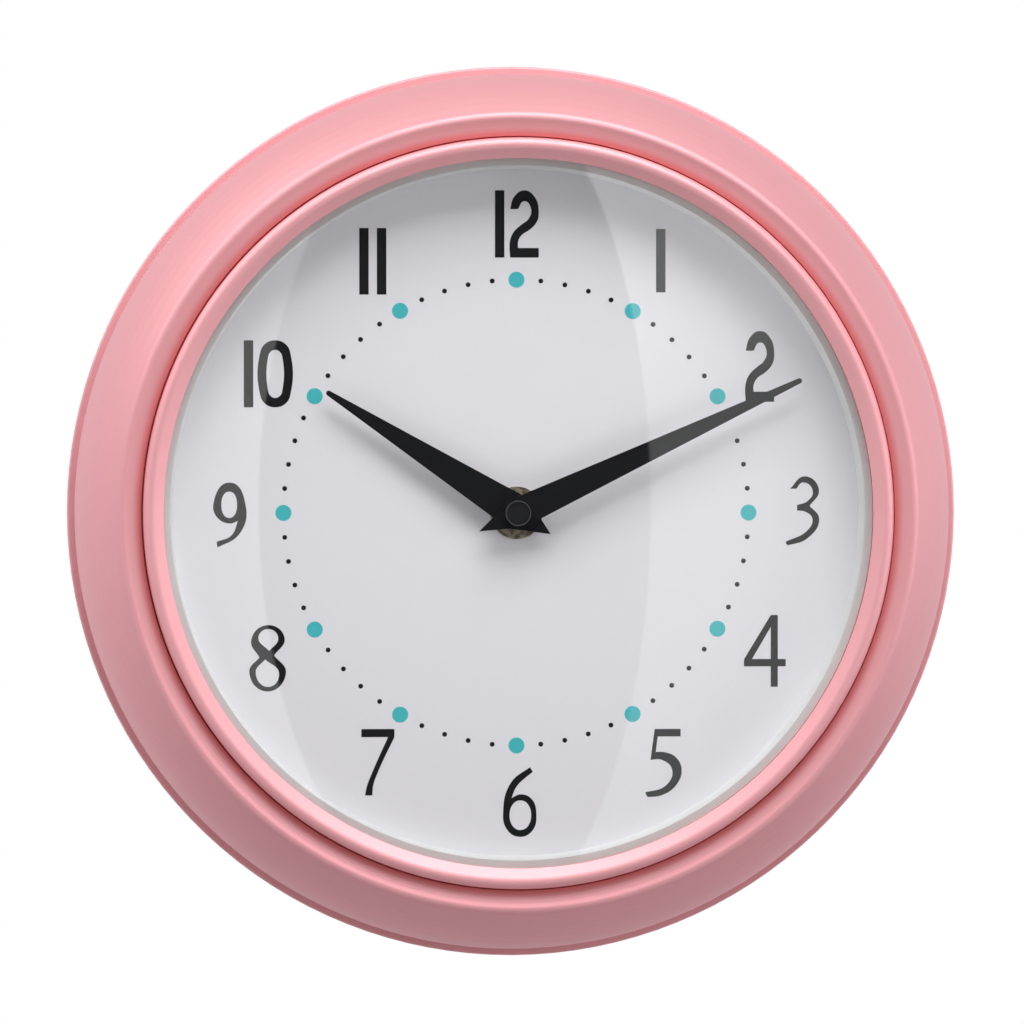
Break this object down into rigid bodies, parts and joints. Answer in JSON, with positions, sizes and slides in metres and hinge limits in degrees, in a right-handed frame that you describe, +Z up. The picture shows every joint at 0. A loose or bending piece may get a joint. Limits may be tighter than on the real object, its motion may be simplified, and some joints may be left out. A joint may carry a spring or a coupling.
{
  "type": "wall clock",
  "caption": "Round battery wall clock in pearl pink metal with a domed glass, a pale dial with raised bezel, black kite-shaped hands and a geared quartz movement behind.",
  "frame": {"origin": "on the dial's axis, in the plane of the wall that the clock hangs on", "axes": "+X to the right of the dial, +Z up, +Y into the wall, so that the dial faces -Y"},
  "size_m": [0.24, 0.0491, 0.24],
  "materials": {
    "pink_lacquer": "pearl satin",
    "bezel_lacquer": "pearl gloss",
    "clear_glass": "polished",
    "dial_paint": "matte",
    "spacer_plastic": "satin",
    "black_lacquer": "satin",
    "brass": "brushed",
    "black_rubber": "matte",
    "black_plastic": "fine grain",
    "grey_plastic": "satin",
    "cream_plastic": "satin",
    "plated_steel": "zinc plated",
    "green_board": "satin",
    "black_resin": "gloss",
    "copper_wire": "enamelled",
    "magnet": "sintered",
    "cell_wrap": "satin wrap"
  },
  "bodies": {
    "clock": {"case_rim": "pink_lacquer", "bezel_ring": "bezel_lacquer", "glass_lens": "clear_glass", "lens_gasket": "black_rubber", "dial_ring": "spacer_plastic", "dial_plate": "dial_paint", "case_lugs": "plated_steel", "back_cover": "black_plastic", "dial_carrier": "black_plastic", "back_screws": "plated_steel", "dial_washer": "brass", "neck_nut": "brass", "neck_gasket": "black_rubber", "movement_case": "grey_plastic", "movement_cover": "grey_plastic", "train_plate": "cream_plastic", "circuit_board": "green_board", "clock_chip": "black_resin", "quartz_crystal": "plated_steel", "coil_bobbin": "cream_plastic", "coil_winding": "copper_wire", "coil_core": "plated_steel", "stator": "plated_steel", "positive_contact": "plated_steel", "negative_contact": "plated_steel"},
    "minute_arbor": {"minute_hand": "black_lacquer", "hand_cap": "black_lacquer", "centre_wheel": "cream_plastic"},
    "hour_arbor": {"hour_hand": "black_lacquer", "hour_wheel": "cream_plastic"},
    "setting_arbor": {"minute_wheel": "cream_plastic", "set_knob": "black_plastic"},
    "third_arbor": {"third_wheel": "cream_plastic"},
    "second_arbor": {"second_wheel": "cream_plastic"},
    "intermediate_arbor": {"intermediate_wheel": "cream_plastic"},
    "rotor": {"rotor_magnet": "magnet", "rotor_pinion": "cream_plastic"},
    "cell": {"battery": "cell_wrap"}
  },
  "joints": [
    {"name": "minute_hand_turn", "type": "hinge", "parent": "clock", "child": "minute_arbor", "pos_m": [0, -0.02, 0], "axis": [0, 1, 0], "continuous": true},
    {"name": "hour_hand_turn", "type": "hinge", "parent": "clock", "child": "hour_arbor", "pos_m": [0, -0.02, 0], "axis": [0, 1, 0], "continuous": true},
    {"name": "setting_knob_turn", "type": "hinge", "parent": "clock", "child": "setting_arbor", "pos_m": [-0.0105, -0.01, 0], "axis": [0, 1, 0], "continuous": true},
    {"name": "third_wheel_turn", "type": "hinge", "parent": "clock", "child": "third_arbor", "pos_m": [0.00902, -0.012, 0.00328], "axis": [0, 1, 0], "continuous": true},
    {"name": "second_wheel_turn", "type": "hinge", "parent": "clock", "child": "second_arbor", "pos_m": [0, -0.012, 0], "axis": [0, 1, 0], "continuous": true},
    {"name": "intermediate_wheel_turn", "type": "hinge", "parent": "clock", "child": "intermediate_arbor", "pos_m": [-0.00323, -0.009, 0.00888], "axis": [0, 1, 0], "continuous": true},
    {"name": "rotor_turn", "type": "hinge", "parent": "clock", "child": "rotor", "pos_m": [-0.01009, -0.008, 0.01284], "axis": [0, 1, 0], "continuous": true},
    {"name": "battery_slide", "type": "slide", "parent": "clock", "child": "cell", "axis": [0, 1, 0], "range_m": [0, 0.02]}
  ],
  "couplings": [
    {"joint": "hour_hand_turn", "follows": "minute_hand_turn", "ratio": 0.083333},
    {"joint": "setting_knob_turn", "follows": "minute_hand_turn", "ratio": -0.33333},
    {"joint": "third_wheel_turn", "follows": "minute_hand_turn", "ratio": -8},
    {"joint": "second_wheel_turn", "follows": "minute_hand_turn", "ratio": 60},
    {"joint": "intermediate_wheel_turn", "follows": "minute_hand_turn", "ratio": -360},
    {"joint": "rotor_turn", "follows": "minute_hand_turn", "ratio": 1800}
  ]
}
